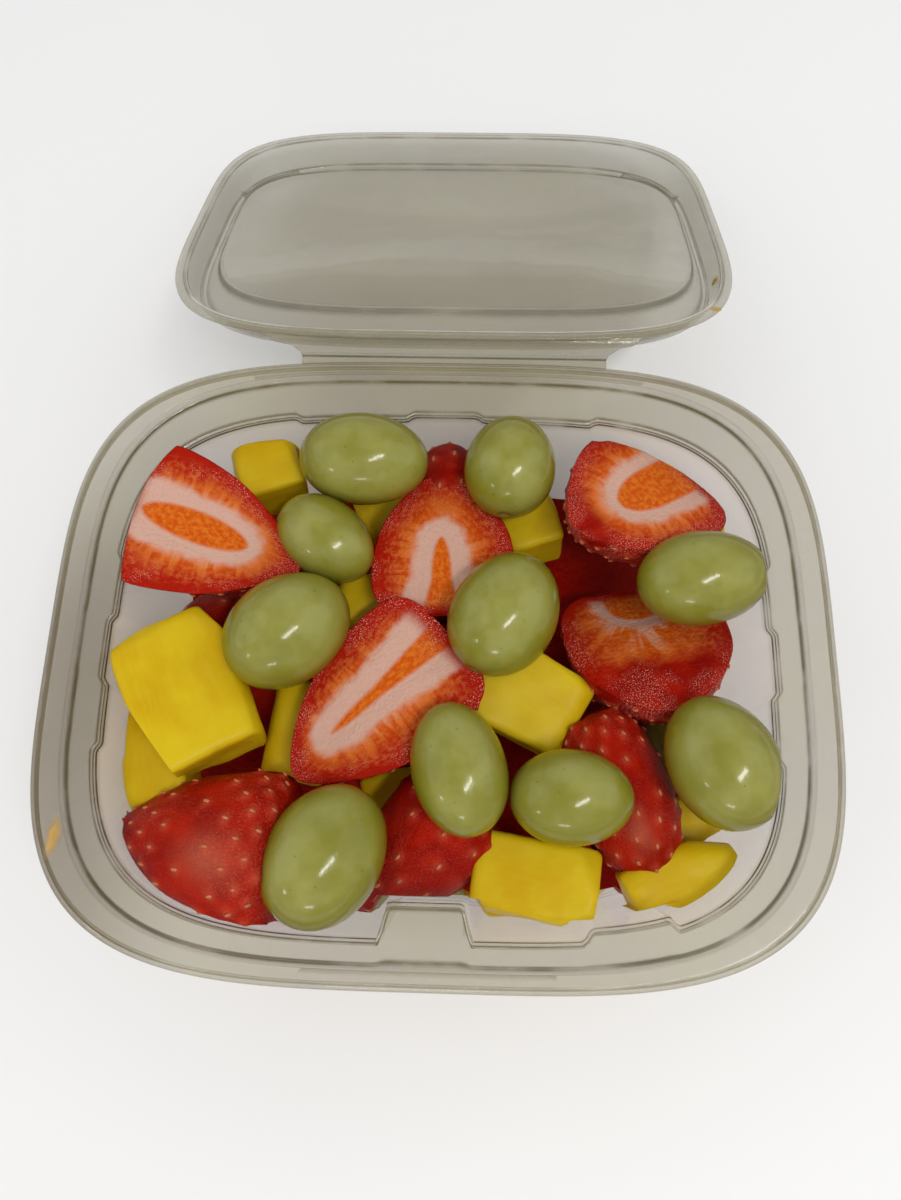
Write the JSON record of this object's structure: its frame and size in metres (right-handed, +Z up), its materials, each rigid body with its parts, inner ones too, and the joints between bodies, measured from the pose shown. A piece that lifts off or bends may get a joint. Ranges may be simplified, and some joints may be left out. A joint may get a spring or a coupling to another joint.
{
  "type": "fruit cup",
  "caption": "Clear hinged rectangular tub heaped with halved strawberries, mango chunks and whole green grapes, its lid folded back behind it.",
  "frame": {"origin": "centre of the tub's flat underside", "axes": "+Z up, +Y towards the hinge and the folded lid, +X to the right as seen from the front"},
  "size_m": [0.168, 0.2563, 0.073],
  "materials": {
    "clear_plastic": "thin clear pressed plastic, glossy",
    "grape_skin": "smooth waxy grape skin",
    "strawberry_flesh": "wet strawberry skin and cut flesh",
    "mango_flesh": "moist cut mango",
    "mixed_fruit": "lower layers of the same fruit"
  },
  "bodies": {
    "tub": {"tub": "clear_plastic", "grape_01": "grape_skin", "grape_02": "grape_skin", "grape_03": "grape_skin", "grape_04": "grape_skin", "grape_05": "grape_skin", "grape_06": "grape_skin", "grape_07": "grape_skin", "grape_08": "grape_skin", "grape_09": "grape_skin", "grape_10": "grape_skin", "strawberry_a": "strawberry_flesh", "strawberry_b": "strawberry_flesh", "strawberry_c": "strawberry_flesh", "strawberry_d": "strawberry_flesh", "strawberry_e": "strawberry_flesh", "strawberry_f": "strawberry_flesh", "strawberry_g": "strawberry_flesh", "strawberry_h": "strawberry_flesh", "strawberry_i": "strawberry_flesh", "strawberry_j": "strawberry_flesh", "mango_01": "mango_flesh", "mango_02": "mango_flesh", "mango_03": "mango_flesh", "mango_04": "mango_flesh", "mango_05": "mango_flesh", "mango_06": "mango_flesh", "mango_07": "mango_flesh", "mango_08": "mango_flesh", "mango_09": "mango_flesh", "mango_10": "mango_flesh", "mango_11": "mango_flesh", "mango_12": "mango_flesh", "fruit_bed": "mixed_fruit"},
    "lid": {"lid": "clear_plastic"}
  },
  "joints": [
    {"name": "lid_hinge", "type": "hinge", "parent": "tub", "child": "lid", "pos_m": [0, 0.06915, 0.064], "axis": [1, 0, 0], "range_deg": [0, 205.6]}
  ]
}
